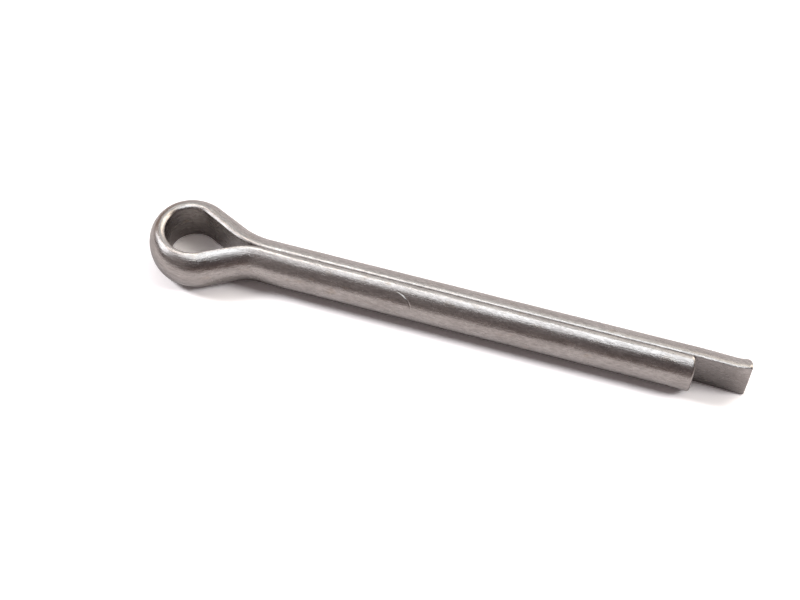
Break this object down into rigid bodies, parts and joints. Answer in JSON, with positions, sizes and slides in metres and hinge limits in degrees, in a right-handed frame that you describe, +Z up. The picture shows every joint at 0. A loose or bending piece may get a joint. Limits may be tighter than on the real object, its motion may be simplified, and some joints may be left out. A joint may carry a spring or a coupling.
{
  "type": "split cotter pin",
  "caption": "Split pin bent from half-round wire: an open teardrop eye, two legs lying flat to flat as a round shank, and one leg longer than the other.",
  "frame": {"origin": "middle of the pin's length and width, on the surface that it lies on", "axes": "+X along the shank from the eye to the tips, +Y across the eye towards the long leg's side, +Z up from the surface that the pin lies on"},
  "size_m": [0.0448, 0.007, 0.0036],
  "materials": {
    "drawn_steel": "satin drawn wire with fine lines along it, brighter on its rubbed corners"
  },
  "bodies": {
    "root": {"cotter_pin": "drawn_steel"}
  },
  "joints": []
}
